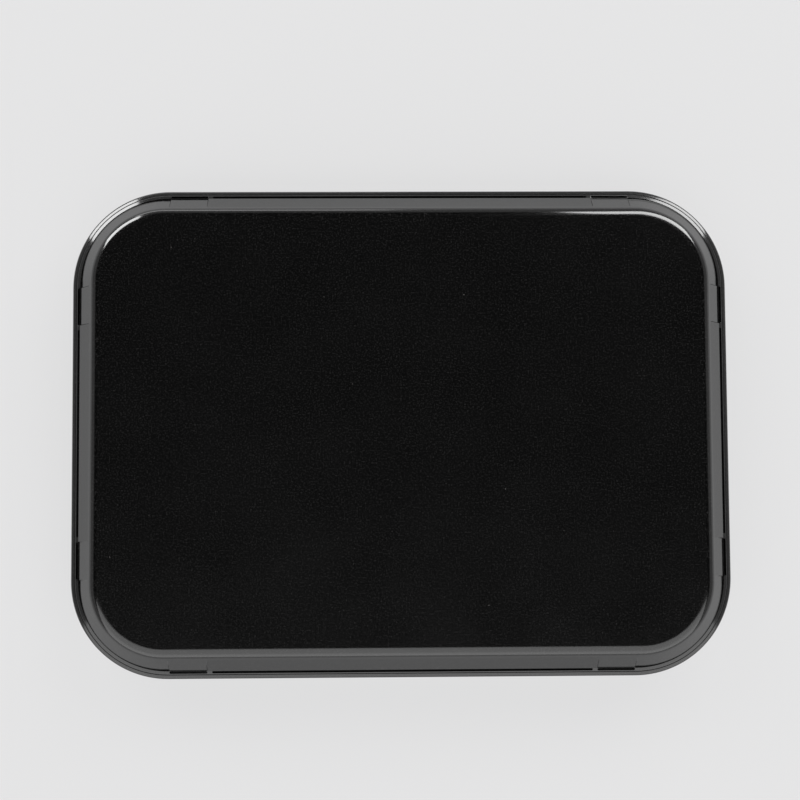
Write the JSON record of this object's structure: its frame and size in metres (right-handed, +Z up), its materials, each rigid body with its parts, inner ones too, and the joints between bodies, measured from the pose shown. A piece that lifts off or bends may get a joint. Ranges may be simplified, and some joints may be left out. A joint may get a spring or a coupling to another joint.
{
  "type": "wet palette",
  "caption": "Flat closed wet palette: a glossy black tray and a lift-off lid with a raised crown keep a damp sponge and its painting sheet sealed inside.",
  "frame": {"origin": "on the table under the middle of the palette, in the plane of its feet", "axes": "+X along the length, +Y across the width towards the back, +Z up through the lid"},
  "size_m": [0.24, 0.178, 0.03],
  "materials": {
    "black_plastic": "moulded, glossy with a fine satin grain",
    "seal_rubber": "soft matte silicone",
    "sponge": "open-pored damp sponge",
    "painting_sheet": "damp parchment-like sheet",
    "foot_rubber": "matte rubber"
  },
  "bodies": {
    "tray_body": {"tray": "black_plastic", "seal_ring": "seal_rubber", "foot_front_left": "foot_rubber", "foot_front_right": "foot_rubber", "foot_back_left": "foot_rubber", "foot_back_right": "foot_rubber"},
    "lid_body": {"lid": "black_plastic"},
    "sponge_body": {"hydration_foam": "sponge"},
    "sheet_body": {"membrane_sheet": "painting_sheet"}
  },
  "joints": [
    {"name": "lid_lift", "type": "slide", "parent": "tray_body", "child": "lid_body", "axis": [0, 0, 1], "range_m": [0, 0.1]},
    {"name": "sponge_lift", "type": "slide", "parent": "tray_body", "child": "sponge_body", "axis": [0, 0, 1], "range_m": [0, 0.008]},
    {"name": "sheet_lift", "type": "slide", "parent": "sponge_body", "child": "sheet_body", "axis": [0, 0, 1], "range_m": [0, 0.006]}
  ]
}
